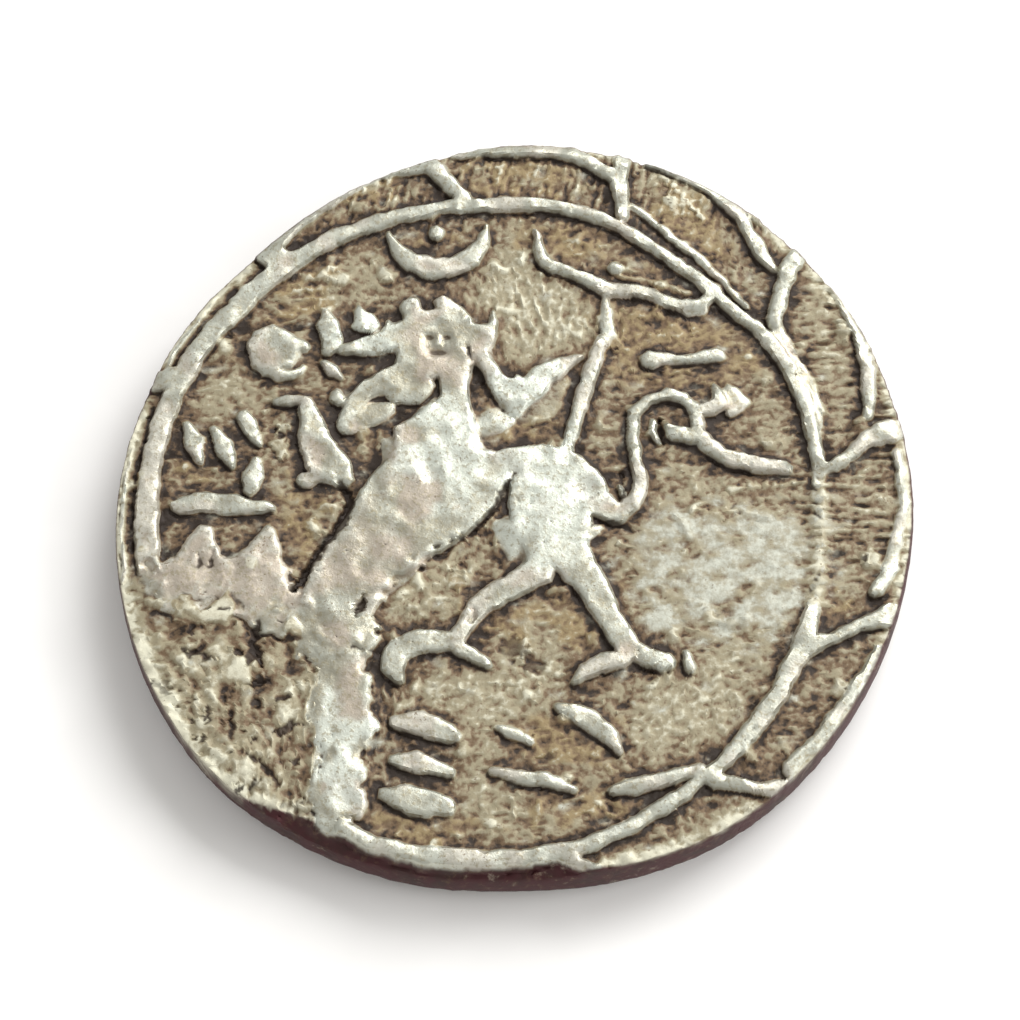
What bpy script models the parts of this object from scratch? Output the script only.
"""A hammered silver coin, lying on its reverse, in metres with +Z up.

The coin is one solid. Both faces are height fields: each stroke of the die raises the field around it, and the
face is triangulated along the outlines of the strokes, so that their walls stay crisp. The rounded side joins
the two faces.

Places on the dies are in modules, the engraver's own unit, which follows from the radius of the border ring.
"""

import math
import random

import bmesh
import bpy
import numpy as np
from mathutils import Vector
from mathutils.geometry import delaunay_2d_cdt

# Flan, the blank that was struck
FLAN_RADIUS = 0.0121
FLAN_THICKNESS = 0.0018
FLAN_POINTS = 84
EDGE_INSET_TOP = 0.00012
EDGE_INSET_BOTTOM = 0.00035
EDGE_ROUND = 0.00028
EDGE_DROP = 0.00016
EDGE_BULGE_HEIGHT = 0.0010

# Obverse die, struck off centre
RING_RADIUS = 0.0105
DIE_OFFSET_X = -0.0009
DIE_OFFSET_Y = -0.00075
RING_HALF_WIDTH = 0.00027
RELIEF = 0.00026
WALL = 0.00010
STROKE_SPREAD = 0.00005

# Reverse die
REVERSE_RING_RADIUS = 0.0098
REVERSE_RING_HALF_WIDTH = 0.00032
REVERSE_RELIEF = 0.00020
REVERSE_BOSS_RADIUS = 0.0014
REVERSE_ROW_SPACING = 0.0027
REVERSE_STROKE_LENGTH = 0.0015
REVERSE_STROKE_HALF_WIDTH = 0.00026
REVERSE_SEED = 7

# Layout of the dies
RING_MODULES = 10.5
MODULE = RING_RADIUS / RING_MODULES
LAYOUT_ORIGIN = (0.9, 0.6)
SAMPLE_SPACING = 0.00068
CAP_STEPS = 3
MERGE_DISTANCE = 0.00002
RING_FROM = -113.0
RING_TO = 196.0

# How far the hand-cut outlines stray from a true circle, every 15 degrees from +X, in modules
FLAN_WOBBLE = (
    0.02, 0.00, 0.06, 0.10, 0.15, 0.13, 0.05, -0.22, -0.42, -0.57, -0.39, -0.22,
    0.00, 0.18, 0.36, 0.48, 0.30, 0.08, -0.12, 0.02, 0.15, 0.08, -0.02, -0.04,
)
RING_WOBBLE = (
    -0.40, -0.15, 0.05, -0.17, 0.02, 0.30, 0.10, 0.05, 0.02, -0.07, -0.10, -0.20,
    -0.30, -0.30, -0.20, -0.10, -0.05, 0.28, 0.25, 0.25, 0.03, -0.06, -0.18, -0.28,
)
# Share of the ring's usual half width at the same places: worn thin at the right, broad at the left
RING_BREADTH = (
    0.90, 0.80, 0.80, 0.75, 0.70, 0.80, 0.85, 0.95, 1.10, 1.15, 1.20, 1.25,
    1.35, 1.35, 0.90, 0.60, 0.60, 1.10, 1.00, 0.90, 0.75, 0.90, 1.10, 0.95,
)
# Extra taper of the lower edge, in modules: the flan thins out at its corroded lower left
EDGE_TAPER = (
    0.0, 0.0, 0.0, 0.0, 0.0, 0.0, 0.0, 0.0, 0.0, 0.0, 0.0, 0.1,
    0.2, 0.3, 0.4, 0.5, 0.3, 0.0, 0.0, 0.1, 0.2, 0.2, 0.1, 0.0,
)

# Heights of the strokes, as shares of the die's relief
FULL = 1.0
SIGN = 0.85
SOFT = 0.60
GHOST = 0.35


def around(values, angle):
    """A closed list of values, read at any angle, smoothly."""
    place = (angle / math.tau % 1.0) * len(values)
    first = int(place)
    share = place - first
    before, start, end, after = (values[(first + step) % len(values)] for step in (-1, 0, 1, 2))
    return smooth_between(before, start, end, after, share)


def smooth_between(before, start, end, after, share):
    """Catmull-Rom interpolation from start to end."""
    slope = 0.5 * (end - before)
    next_slope = 0.5 * (after - start)
    rise = end - start
    bend = 3.0 * rise - 2.0 * slope - next_slope
    twist = slope + next_slope - 2.0 * rise
    return start + share * (slope + share * (bend + share * twist))


def polar(radius, angle):
    return np.array((radius * math.cos(angle), radius * math.sin(angle)))


class Stroke:
    """One line or blob of a die: a chain of circles, swept into a ridge with sloping walls and a flat top."""

    def __init__(self, stations, height):
        self.stations = [np.array(station, float) for station in stations]
        self.height = height
        self.samples = self.swept()

    def swept(self):
        """The circles along the stroke, close enough together to follow its curve."""
        points = self.stations
        if len(points) == 1:
            return np.array(points)
        samples = [points[0]]
        for i in range(len(points) - 1):
            start, end = points[i], points[i + 1]
            before = points[i - 1] if i else 2.0 * start - end
            after = points[i + 2] if i + 2 < len(points) else 2.0 * end - start
            steps = max(1, math.ceil(np.linalg.norm((end - start)[:2]) / SAMPLE_SPACING))
            for step in range(1, steps + 1):
                samples.append(smooth_between(before, start, end, after, step / steps))
        return np.array(samples)

    def contour(self, inset):
        """The outline of the stroke, inset from its foot, as a closed loop of points."""
        centres = self.samples[:, :2]
        widths = np.maximum(self.samples[:, 2] - inset, 0.4 * self.samples[:, 2])
        if len(centres) == 1:
            turns = [math.tau * k / (2 * CAP_STEPS + 2) for k in range(2 * CAP_STEPS + 2)]
            return [centres[0] + polar(widths[0], turn) for turn in turns]
        along = np.gradient(centres, axis=0)
        headings = np.arctan2(along[:, 1], along[:, 0])
        quarter = math.pi / 2
        left = [c + polar(w, a + quarter) for c, w, a in zip(centres, widths, headings)]
        right = [c + polar(w, a - quarter) for c, w, a in zip(centres, widths, headings)]
        cap_turns = [math.pi * k / CAP_STEPS - quarter for k in range(1, CAP_STEPS)]
        end_cap = [centres[-1] + polar(widths[-1], headings[-1] - turn) for turn in cap_turns]
        start_cap = [centres[0] + polar(widths[0], headings[0] + math.pi - turn) for turn in cap_turns]
        return left + end_cap + right[::-1] + start_cap

    def depth(self, points):
        """How far inside the stroke's foot each point lies, along the wall."""
        if len(self.samples) == 1:
            x, y, radius = self.samples[0]
            return radius - np.hypot(points[:, 0] - x, points[:, 1] - y)
        deepest = np.full(len(points), -math.inf)
        for start, end in zip(self.samples, self.samples[1:]):
            run = end[:2] - start[:2]
            share = np.clip((points - start[:2]) @ run / max(run @ run, 1e-18), 0.0, 1.0)
            nearest = start[:2] + share[:, None] * run
            radius = start[2] + share * (end[2] - start[2])
            gap = np.hypot(*(points - nearest).T)
            deepest = np.maximum(deepest, radius - gap)
        return deepest

    def rise(self, points):
        """The stroke's height at each point, from 0 on the field to its own height on top."""
        wall = np.minimum(WALL, 0.6 * self.samples[:, 2].max())
        share = np.clip(self.depth(points) / wall, 0.0, 1.0)
        share = np.where(share < 0.12, 0.0, np.where(share > 0.88, 1.0, share))
        return self.height * share


def module_stroke(height, *stations):
    """A stroke whose stations (x, y, half width) are in modules from the layout's origin."""
    x0 = DIE_OFFSET_X + LAYOUT_ORIGIN[0] * MODULE
    y0 = DIE_OFFSET_Y + LAYOUT_ORIGIN[1] * MODULE
    return Stroke(
        [(x0 + x * MODULE, y0 + y * MODULE, w * MODULE + STROKE_SPREAD) for x, y, w in stations], height
    )


def module_arc(height, centre, radius, start, end, widths):
    """A stroke along an arc, from the angle start to the angle end in degrees, with half widths spread along it."""
    count = len(widths)
    turns = [math.radians(start + (end - start) * k / (count - 1)) for k in range(count)]
    return module_stroke(
        height,
        *((centre[0] + radius * math.cos(a), centre[1] + radius * math.sin(a), w) for a, w in zip(turns, widths)),
    )


def border_ring():
    """The hand-cut ring around the field. Corrosion has taken its lower left part."""
    stations = []
    count = 2 * len(RING_WOBBLE)
    for k in range(count + 1):
        angle = math.radians(RING_FROM + (RING_TO - RING_FROM) * k / count)
        radius = RING_RADIUS + around(RING_WOBBLE, angle) * MODULE
        x, y = polar(radius, angle) + (DIE_OFFSET_X, DIE_OFFSET_Y)
        stations.append((x, y, RING_HALF_WIDTH * around(RING_BREADTH, angle) + STROKE_SPREAD))
    return [Stroke(stations, FULL)]


def lobes():
    """The arcs that spring from the ring and run out over the edge, with the cells between them."""
    return [
        module_stroke(FULL, (-1.6, 10.2, 0.26), (-2.1, 10.8, 0.26), (-2.6, 11.4, 0.28), (-3.0, 12.0, 0.30)),
        module_stroke(FULL, (-2.7, 11.5, 0.30), (-4.2, 11.15, 0.26), (-5.5, 10.35, 0.22), (-6.6, 9.45, 0.18),
                      (-7.4, 8.6, 0.20)),
        module_stroke(FULL, (-2.4, 11.9, 0.25), (-0.8, 12.0, 0.28), (1.0, 12.0, 0.30), (2.2, 11.6, 0.26),
                      (3.1, 11.0, 0.20)),
        module_stroke(FULL, (3.4, 12.2, 0.34), (3.35, 11.2, 0.28), (3.3, 10.4, 0.24), (3.4, 9.6, 0.20)),
        module_stroke(SOFT, (3.7, 9.95, 0.12), (4.5, 9.25, 0.13), (5.9, 7.95, 0.14), (7.15, 6.55, 0.12)),
        module_stroke(FULL, (4.2, 11.6, 0.25), (5.6, 11.0, 0.24), (6.7, 10.1, 0.22), (7.3, 9.1, 0.22),
                      (7.7, 8.3, 0.22), (8.0, 7.75, 0.14)),
        module_stroke(FULL, (9.2, 8.6, 0.34), (8.5, 7.8, 0.30), (8.25, 6.9, 0.24), (8.0, 6.0, 0.26)),
        module_stroke(SOFT, (8.0, 6.0, 0.30), (8.3, 5.1, 0.26), (8.8, 4.1, 0.26), (9.15, 3.0, 0.26),
                      (9.2, 2.2, 0.16)),
        module_stroke(SIGN, (9.4, 7.9, 0.18), (10.1, 6.9, 0.24), (10.6, 5.6, 0.24), (10.85, 4.3, 0.26),
                      (10.8, 2.8, 0.18)),
        module_stroke(FULL, (9.3, 0.95, 0.20), (10.0, 1.3, 0.18), (10.7, 1.95, 0.26), (11.6, 2.3, 0.36),
                      (12.2, 2.4, 0.36)),
        module_stroke(SOFT, (11.6, 1.6, 0.18), (11.75, 0.4, 0.18), (11.6, -0.9, 0.18), (11.2, -2.2, 0.24)),
        module_stroke(SIGN, (11.3, -2.2, 0.22), (10.8, -3.0, 0.20)),
        module_stroke(FULL, (8.6, -4.75, 0.34), (9.4, -4.5, 0.22), (10.2, -4.1, 0.20), (11.2, -3.75, 0.34),
                      (12.0, -3.5, 0.36)),
        module_stroke(SIGN, (10.95, -4.9, 0.26), (10.1, -6.2, 0.30), (9.2, -7.45, 0.32), (8.1, -8.6, 0.32)),
        module_stroke(FULL, (5.5, -8.8, 0.26), (6.3, -9.05, 0.20), (7.2, -9.15, 0.20), (8.3, -9.2, 0.34),
                      (9.0, -9.3, 0.40)),
        module_stroke(SOFT, (7.2, -10.1, 0.16), (5.8, -11.1, 0.20), (4.2, -11.7, 0.22)),
        module_stroke(FULL, (1.4, -11.2, 0.22), (2.2, -11.65, 0.22), (3.2, -11.9, 0.24), (4.4, -11.8, 0.20)),
        module_stroke(SOFT, (-11.55, 2.6, 0.10), (-11.8, 0.8, 0.12), (-11.9, -1.0, 0.12), (-11.7, -2.6, 0.12)),
        module_stroke(FULL, (-7.2, 8.0, 0.40), (-7.9, 8.5, 0.40), (-8.4, 8.8, 0.40)),
        module_stroke(SOFT, (-8.6, 7.7, 0.13), (-9.4, 6.6, 0.13), (-10.2, 5.4, 0.14), (-10.7, 4.5, 0.18)),
        module_stroke(FULL, (-10.3, 4.1, 0.36), (-11.1, 3.9, 0.34)),
    ]


def sky_signs():
    """Crescent with its pellet, disc with its rim, and the bar with a lifted end under the top of the ring."""
    return [
        module_arc(SIGN, (-2.4, 9.35), 1.58, 192, 358, (0.08, 0.26, 0.33, 0.36, 0.33, 0.32, 0.24, 0.06)),
        module_stroke(SIGN, (-2.45, 9.05, 0.27)),
        module_stroke(FULL, (-7.42, 5.0, 0.84)),
        module_stroke(FULL, (-6.9, 5.3, 0.22), (-6.5, 5.05, 0.18)),
        module_arc(SIGN, (-7.2, 4.9), 0.85, 240, 330, (0.08, 0.15, 0.15, 0.06)),
        module_stroke(FULL, (0.65, 9.0, 0.10), (0.72, 8.5, 0.17), (0.95, 8.0, 0.22), (1.6, 7.7, 0.20),
                      (2.3, 7.4, 0.20), (2.8, 7.05, 0.20), (3.7, 7.05, 0.21), (4.5, 6.72, 0.18),
                      (5.2, 6.48, 0.22), (5.8, 6.6, 0.20), (6.2, 7.0, 0.20)),
        module_stroke(SOFT, (5.35, 6.2, 0.14), (5.8, 6.35, 0.16)),
        module_stroke(SIGN, (3.15, 7.8, 0.20)),
        module_stroke(GHOST, (3.3, 7.5, 0.08), (4.3, 7.32, 0.08), (5.4, 6.95, 0.08)),
        module_stroke(SIGN, (4.15, 4.62, 0.31), (4.6, 4.68, 0.22), (5.2, 4.68, 0.13), (5.8, 4.75, 0.18),
                      (6.25, 4.82, 0.24)),
    ]


def archer():
    """The rider's worn head and cap, shoulders, arms and quiver. Wear has taken the face."""
    return [
        module_stroke(FULL, (-3.45, 5.5, 0.50), (-2.6, 5.4, 0.72), (-1.7, 5.3, 0.68), (-1.05, 5.35, 0.50)),
        module_stroke(FULL, (-3.2, 6.45, 0.32)),
        module_stroke(FULL, (-3.1, 6.1, 0.30), (-2.4, 6.0, 0.30)),
        module_stroke(FULL, (-2.2, 6.55, 0.30), (-1.9, 6.25, 0.36), (-1.55, 5.85, 0.28)),
        module_stroke(FULL, (-0.65, 6.3, 0.07), (-0.68, 5.85, 0.15), (-0.8, 5.4, 0.28)),
        module_stroke(FULL, (-3.2, 4.75, 0.46), (-2.1, 4.65, 0.56), (-1.5, 4.6, 0.36)),
        module_stroke(FULL, (-1.85, 4.3, 0.50), (-1.8, 3.4, 0.50), (-2.0, 2.6, 0.80), (-2.55, 1.7, 1.30)),
        module_stroke(FULL, (-1.05, 5.0, 0.26), (-0.8, 4.4, 0.22), (-0.45, 3.8, 0.38), (0.05, 3.4, 0.62),
                      (0.6, 3.75, 0.42), (1.0, 4.2, 0.36), (1.5, 4.5, 0.30), (2.0, 4.75, 0.12)),
        module_stroke(FULL, (-0.35, 4.0, 0.16), (-0.3, 3.7, 0.16)),
        module_stroke(FULL, (0.1, 4.05, 0.16), (0.1, 3.7, 0.16)),
        module_stroke(FULL, (-2.4, 4.5, 0.42), (-3.2, 4.25, 0.42), (-4.1, 3.85, 0.35), (-4.7, 3.45, 0.31),
                      (-5.05, 2.9, 0.27), (-5.25, 2.5, 0.21)),
        module_stroke(SOFT, (-5.0, 2.5, 0.38), (-4.4, 2.75, 0.42), (-3.9, 2.95, 0.28)),
        module_stroke(SIGN, (-3.6, 3.55, 0.36), (-3.0, 3.55, 0.38), (-2.6, 3.8, 0.20)),
        module_stroke(SIGN, (-5.4, 3.4, 0.28)),
        module_stroke(FULL, (-5.8, 6.3, 0.10), (-5.75, 5.9, 0.33), (-5.6, 5.3, 0.36), (-5.75, 5.0, 0.22)),
        module_stroke(SIGN, (-5.8, 4.55, 0.12), (-5.55, 4.25, 0.18), (-5.35, 4.05, 0.10)),
        module_stroke(SIGN, (-4.8, 6.4, 0.12), (-4.72, 6.0, 0.36), (-4.45, 5.8, 0.26)),
        module_stroke(FULL, (-5.25, 4.95, 0.16), (-4.7, 5.1, 0.28), (-4.1, 5.2, 0.34), (-3.6, 5.4, 0.40)),
        module_stroke(FULL, (-3.88, 5.9, 0.07), (-3.95, 5.5, 0.20)),
        module_stroke(FULL, (-6.3, 3.2, 0.24), (-6.2, 2.6, 0.38), (-6.05, 1.8, 0.50), (-5.6, 1.1, 0.58),
                      (-5.2, 0.75, 0.38)),
        module_stroke(SIGN, (-7.3, 3.2, 0.10), (-6.9, 3.25, 0.20), (-6.5, 3.3, 0.14)),
        module_stroke(SIGN, (-6.3, 0.6, 0.30), (-6.1, 0.75, 0.22)),
        module_stroke(SOFT, (2.85, 6.9, 0.12), (2.8, 6.1, 0.18), (2.85, 5.5, 0.26), (2.65, 5.1, 0.22)),
        module_stroke(FULL, (2.62, 5.1, 0.20), (2.3, 4.2, 0.24), (2.05, 3.3, 0.22), (1.8, 2.4, 0.20),
                      (1.6, 1.6, 0.20)),
        module_stroke(GHOST, (0.4, 2.85, 0.45), (1.0, 3.3, 0.45), (1.45, 4.0, 0.30)),
    ]


def beast():
    """The striding body: chest and worn forequarter, belly, back, haunch and the two hind legs."""
    return [
        module_stroke(FULL, (-0.9, 1.0, 0.55), (-1.7, 0.9, 0.95), (-2.6, 0.4, 1.50), (-3.25, -0.4, 1.60),
                      (-4.0, -1.4, 1.40), (-4.8, -2.4, 1.20), (-5.3, -3.3, 1.15), (-5.4, -4.3, 0.90)),
        module_stroke(FULL, (-0.7, 1.0, 0.60), (-1.05, 0.4, 0.76), (-1.7, -0.2, 0.88), (-2.4, -0.85, 0.88)),
        module_stroke(FULL, (-0.8, 1.0, 0.55), (0.2, 1.05, 0.64), (1.2, 0.9, 0.85), (2.0, 0.4, 0.72),
                      (2.7, -0.25, 0.42), (3.15, -0.5, 0.30)),
        module_stroke(FULL, (1.1, 0.1, 1.28), (1.1, -0.6, 1.25), (1.0, -1.4, 0.80)),
        module_stroke(FULL, (1.2, -1.0, 0.95), (1.7, -1.9, 0.66), (2.2, -2.6, 0.50), (2.6, -3.4, 0.41),
                      (2.95, -4.1, 0.40), (3.35, -4.7, 0.35)),
        module_stroke(FULL, (3.3, -4.8, 0.34), (3.9, -5.1, 0.30), (4.5, -5.22, 0.30)),
        module_stroke(FULL, (3.2, -5.15, 0.28), (2.6, -5.3, 0.32), (2.1, -5.5, 0.24), (1.8, -5.85, 0.14)),
        module_stroke(SIGN, (5.1, -5.0, 0.15), (5.2, -5.45, 0.20)),
        module_stroke(FULL, (0.8, -1.8, 0.50), (0.7, -2.35, 0.48), (0.2, -2.7, 0.42), (-0.5, -3.05, 0.38),
                      (-1.05, -3.5, 0.32), (-1.4, -4.0, 0.26), (-1.75, -4.5, 0.22)),
        module_stroke(FULL, (-0.8, -5.3, 0.14), (-1.3, -4.95, 0.24), (-1.8, -4.65, 0.27), (-2.4, -4.6, 0.32),
                      (-3.1, -4.65, 0.36), (-3.55, -5.0, 0.38), (-3.65, -5.4, 0.34), (-3.4, -5.8, 0.20)),
        module_stroke(SOFT, (-5.0, -5.0, 0.62), (-5.2, -6.3, 0.52), (-5.2, -7.4, 0.60), (-5.3, -8.3, 0.66),
                      (-5.4, -9.3, 0.52), (-5.2, -10.2, 0.45)),
        module_stroke(GHOST, (-3.3, -3.1, 0.50), (-2.5, -2.9, 0.65), (-1.7, -2.7, 0.35)),
    ]


def tail_dragon():
    """The tail, which rises, curls over and ends in a gaping dragon's head."""
    return [
        module_stroke(FULL, (3.1, -0.45, 0.26), (3.6, -0.15, 0.26), (3.82, 0.5, 0.20), (3.66, 1.3, 0.19),
                      (3.6, 2.2, 0.20)),
        module_arc(FULL, (4.72, 2.35), 1.14, 188, 62, (0.20, 0.20, 0.20, 0.19, 0.15)),
        module_stroke(FULL, (5.2, 3.35, 0.15), (5.55, 3.0, 0.20)),
        module_stroke(FULL, (3.2, 0.4, 0.07), (3.35, -0.1, 0.09), (3.45, -0.4, 0.12)),
        module_stroke(FULL, (5.6, 2.95, 0.22), (6.0, 3.02, 0.28), (6.25, 3.2, 0.24), (6.2, 3.5, 0.15),
                      (6.08, 3.75, 0.08)),
        module_stroke(SOFT, (6.6, 3.55, 0.30), (6.9, 3.2, 0.38), (6.6, 2.9, 0.22)),
        module_stroke(FULL, (5.58, 2.75, 0.20), (5.6, 2.2, 0.20), (5.85, 1.8, 0.24), (6.3, 1.42, 0.26),
                      (7.0, 1.25, 0.25), (7.7, 1.07, 0.24), (8.25, 1.0, 0.20)),
        module_stroke(FULL, (5.4, 2.1, 0.22), (5.1, 2.15, 0.25), (4.8, 2.2, 0.25), (4.65, 2.38, 0.14)),
        module_stroke(SIGN, (4.42, 1.85, 0.07), (4.2, 2.2, 0.11), (4.2, 2.6, 0.08)),
    ]


def side_signs():
    """Rows of short worn wedges in the place of the legend at the left."""
    return [
        module_stroke(SIGN, (-10.0, 2.45, 0.14), (-9.75, 1.9, 0.30), (-9.55, 1.3, 0.12)),
        module_stroke(SIGN, (-9.15, 2.3, 0.14), (-8.85, 1.75, 0.32), (-8.6, 1.1, 0.14)),
        module_stroke(SIGN, (-8.2, 2.75, 0.24), (-8.0, 2.25, 0.28), (-7.8, 1.85, 0.12)),
        module_stroke(SIGN, (-7.85, 1.3, 0.12), (-7.82, 0.85, 0.34), (-8.0, 0.4, 0.28)),
        module_stroke(SIGN, (-10.15, -0.2, 0.28), (-9.5, -0.12, 0.34), (-8.6, -0.16, 0.32), (-7.9, -0.25, 0.27),
                      (-7.4, -0.32, 0.18)),
        module_stroke(SIGN, (-9.35, -1.15, 0.34), (-9.45, -2.0, 0.72), (-9.4, -2.9, 0.72)),
        module_stroke(SIGN, (-7.4, -1.2, 0.32), (-7.6, -2.0, 0.66), (-7.75, -2.9, 0.70)),
        module_stroke(SOFT, (-9.6, -3.4, 0.50), (-8.3, -3.6, 0.60), (-6.9, -3.7, 0.55)),
        module_stroke(GHOST, (-9.8, -4.7, 0.60), (-8.6, -5.6, 0.80), (-8.6, -7.2, 0.80), (-7.4, -8.6, 0.60)),
    ]


def foot_signs():
    """Rows of short strokes in the place of the legend under the beast."""
    return [
        module_stroke(SIGN, (-3.5, -7.1, 0.20), (-2.8, -7.15, 0.42), (-1.8, -7.55, 0.24)),
        module_stroke(SIGN, (-3.5, -8.3, 0.18), (-2.9, -8.35, 0.34), (-1.9, -8.65, 0.20)),
        module_stroke(SIGN, (-3.75, -9.4, 0.26), (-3.0, -9.55, 0.44), (-2.0, -9.75, 0.26)),
        module_stroke(SOFT, (-0.45, -7.35, 0.12), (0.05, -7.5, 0.20), (0.5, -7.75, 0.12)),
        module_stroke(SIGN, (-0.7, -8.65, 0.12), (0.1, -8.8, 0.20), (0.9, -8.95, 0.22), (1.7, -9.2, 0.14)),
        module_stroke(SIGN, (1.35, -6.65, 0.18), (2.0, -6.95, 0.29), (2.6, -7.4, 0.32), (3.05, -8.0, 0.16)),
        module_stroke(SIGN, (2.85, -9.25, 0.16), (3.6, -9.1, 0.26), (4.5, -8.85, 0.22), (5.4, -8.55, 0.20)),
    ]


def obverse_strokes():
    return border_ring() + lobes() + sky_signs() + archer() + beast() + tail_dragon() + side_signs() + foot_signs()


def reverse_strokes():
    """A plain reverse: a ring, a boss at the centre, and rows of short strokes where a legend would run."""
    chance = random.Random(REVERSE_SEED)
    count = 48
    ring = [
        (*polar(REVERSE_RING_RADIUS * (1.0 + 0.012 * math.sin(3 * a)), a), REVERSE_RING_HALF_WIDTH)
        for a in (math.tau * k / count for k in range(count + 1))
    ]
    strokes = [Stroke(ring, FULL), Stroke([(0.0, 0.0, REVERSE_BOSS_RADIUS)], FULL)]
    reach = REVERSE_RING_RADIUS - REVERSE_RING_HALF_WIDTH - 0.5 * REVERSE_STROKE_LENGTH
    rows = int(reach / REVERSE_ROW_SPACING)
    pitch = 1.15 * REVERSE_STROKE_LENGTH
    for row in range(-rows, rows + 1):
        y = row * REVERSE_ROW_SPACING
        half_row = math.sqrt(max(reach ** 2 - y ** 2, 0.0))
        places = int(half_row / pitch)
        for place in range(-places, places + 1):
            x = place * pitch + 0.3 * pitch * (row % 2)
            lean = chance.uniform(-0.9, 0.9)
            half = 0.5 * REVERSE_STROKE_LENGTH * chance.uniform(0.6, 1.0)
            clear = REVERSE_BOSS_RADIUS + half + 2.0 * REVERSE_STROKE_HALF_WIDTH
            if math.hypot(x, y) < clear or math.hypot(x, y) > reach - half:
                continue
            bend = 0.35 * half * chance.choice((-1, 0, 1))
            tip = polar(half, lean + math.pi / 2)
            side = polar(bend, lean)
            width = REVERSE_STROKE_HALF_WIDTH
            strokes.append(
                Stroke(
                    [
                        (x - tip[0], y - tip[1], 0.7 * width),
                        (x + side[0], y + side[1], width),
                        (x + tip[0], y + tip[1], 0.6 * width),
                    ],
                    SIGN,
                )
            )
    return strokes


def flan_shift():
    """Moves the uneven outline so that the origin is under the middle of its box."""
    points = np.array([polar(FLAN_RADIUS + around(FLAN_WOBBLE, a) * MODULE, a) for a in outline_turns()])
    return -0.5 * (points.max(axis=0) + points.min(axis=0))


def outline_turns():
    return [math.tau * k / FLAN_POINTS for k in range(FLAN_POINTS)]


def flan_outline(inset, taper=0.0):
    """The flan's outline seen from above, inset from its widest line."""
    shift = flan_shift()
    points = []
    for angle in outline_turns():
        radius = FLAN_RADIUS + around(FLAN_WOBBLE, angle) * MODULE - inset
        radius -= taper * around(EDGE_TAPER, angle) * MODULE
        points.append(polar(radius, angle) + shift)
    return points


def edge_distance(points, outline):
    """How far inside the outline's straight sides each point lies, measured along the radius."""
    loop = np.array(outline)
    turns = np.unwrap(np.arctan2(loop[:, 1], loop[:, 0]))
    radii = np.hypot(loop[:, 0], loop[:, 1])
    angles = (np.arctan2(points[:, 1], points[:, 0]) - turns[0]) % math.tau + turns[0]
    start = np.clip(np.searchsorted(turns, angles, side="right") - 1, 0, len(turns) - 1)
    end = (start + 1) % len(turns)
    span = (turns[end] - turns[start]) % math.tau
    past = angles - turns[start]
    rim = radii[start] * radii[end] * np.sin(span)
    rim /= radii[start] * np.sin(past) + radii[end] * np.sin(span - past)
    return rim - np.hypot(points[:, 0], points[:, 1])


def loop_edges(first, count):
    return [(first + k, first + (k + 1) % count) for k in range(count)]


def stroke_constraints(strokes):
    """The foot and the top line of every stroke, without the stretches that a taller stroke buries."""
    points, edges = [], []
    for stroke in strokes:
        others = [other for other in strokes if other is not stroke and other.height >= stroke.height]
        for inset in (0.0, WALL):
            loop = np.array(stroke.contour(inset))
            deepest = np.max([other.depth(loop) for other in others], axis=0)
            buried = deepest > 1.5 * WALL
            first = len(points)
            points.extend(loop)
            for start, end in loop_edges(0, len(loop)):
                if not (buried[start] and buried[end]):
                    edges.append((first + start, first + end))
    return points, edges


def face_mesh(outline, strokes, relief):
    """Triangulates one face and returns its points, their heights above the field, and its triangles."""
    inner_loops = [
        [np.array(p) * (1.0 - share * EDGE_ROUND / np.linalg.norm(p)) for p in outline] for share in (0.4, 1.0)
    ]
    points = list(outline)
    edges = loop_edges(0, len(outline))
    for loop in inner_loops:
        edges += loop_edges(len(points), len(loop))
        points += loop
    stroke_points, stroke_edges = stroke_constraints(strokes)
    edges += [(len(points) + a, len(points) + b) for a, b in stroke_edges]
    points += stroke_points
    used = sorted({end for edge in edges for end in edge})
    place = {old: new for new, old in enumerate(used)}
    flat = [Vector(points[old]) for old in used]
    links = [(place[a], place[b]) for a, b in edges]
    plan, _, triangles, _, _, _ = delaunay_2d_cdt(flat, links, [], 0, MERGE_DISTANCE)
    plan = np.array([tuple(p) for p in plan])
    triangles = np.array(triangles)
    centres = plan[triangles].mean(axis=1)
    triangles = triangles[edge_distance(centres, outline) > 0.0]
    heights = relief * np.max([stroke.rise(plan) for stroke in strokes], axis=0)
    inside = np.clip(edge_distance(plan, outline) / EDGE_ROUND, 0.0, 1.0)
    return plan, heights - EDGE_DROP * (1.0 - inside) ** 2, triangles


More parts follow.
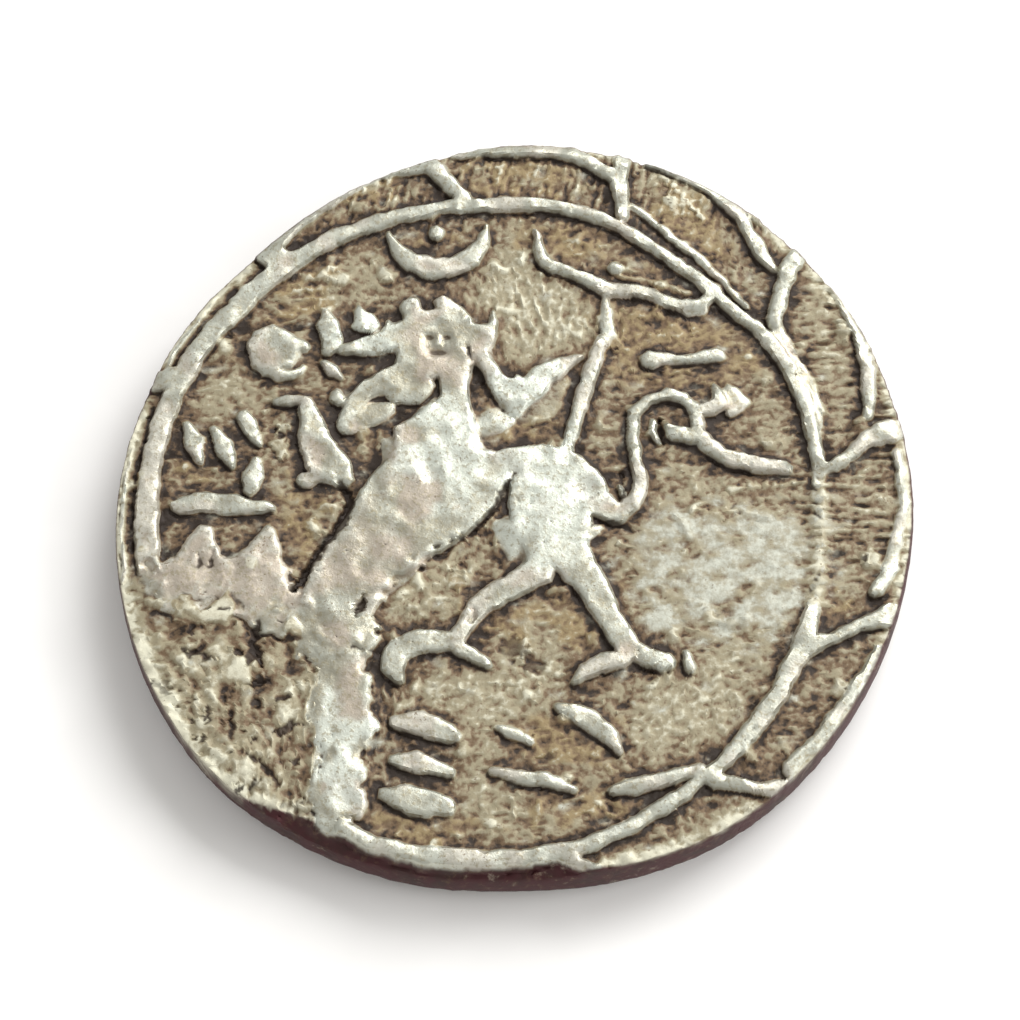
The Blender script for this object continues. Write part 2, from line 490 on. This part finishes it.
def add_face(bm, plan, heights, triangles, flip):
    """Adds one face's triangles and returns the edges of its open rim."""
    used = np.unique(triangles)
    verts = {i: bm.verts.new((*plan[i], heights[i])) for i in used}
    for triangle in triangles:
        corners = [verts[i] for i in triangle]
        bm.faces.new(corners[::-1] if flip else corners)
    bm.edges.index_update()
    return [edge for vert in verts.values() for edge in vert.link_edges if edge.is_boundary]


def make_material():
    material = bpy.data.materials.new("tarnished_silver")
    material.use_nodes = True
    shader = material.node_tree.nodes["Principled BSDF"]
    shader.inputs["Base Color"].default_value = (0.62, 0.58, 0.50, 1.0)
    shader.inputs["Metallic"].default_value = 1.0
    shader.inputs["Roughness"].default_value = 0.42
    return material


def make_coin():
    """Joins the two struck faces by the rounded side of the flan."""
    bm = bmesh.new()
    field = REVERSE_RELIEF + FLAN_THICKNESS
    plan, heights, triangles = face_mesh(flan_outline(EDGE_INSET_TOP), obverse_strokes(), RELIEF)
    upper_rim = add_face(bm, plan, field + heights, triangles, flip=False)
    mirrored = reverse_strokes()
    plan, heights, triangles = face_mesh(flan_outline(EDGE_INSET_BOTTOM, taper=1.0), mirrored, REVERSE_RELIEF)
    lower_rim = add_face(bm, plan, REVERSE_RELIEF - heights, triangles, flip=True)
    waist = [bm.verts.new((*p, EDGE_BULGE_HEIGHT)) for p in flan_outline(0.0, taper=0.2)]
    waist_edges = [bm.edges.new((waist[a], waist[b])) for a, b in loop_edges(0, len(waist))]
    bmesh.ops.bridge_loops(bm, edges=list(set(upper_rim)) + waist_edges)
    bmesh.ops.bridge_loops(bm, edges=list(set(lower_rim)) + waist_edges)
    bmesh.ops.triangulate(bm, faces=bm.faces[:])
    bmesh.ops.recalc_face_normals(bm, faces=bm.faces[:])
    mesh = bpy.data.meshes.new("coin")
    bm.to_mesh(mesh)
    bm.free()
    coin = bpy.data.objects.new("coin", mesh)
    coin.data.materials.append(make_material())
    return coin


def main():
    for leftover in list(bpy.data.objects):
        bpy.data.objects.remove(leftover)
    collection = bpy.data.collections.new("antique_coin")
    bpy.context.scene.collection.children.link(collection)
    coin = make_coin()
    collection.objects.link(coin)
    coin.data.shade_smooth()
    coin.data.set_sharp_from_angle(angle=math.radians(30))
    print(len(coin.data.polygons), "triangles")


main()
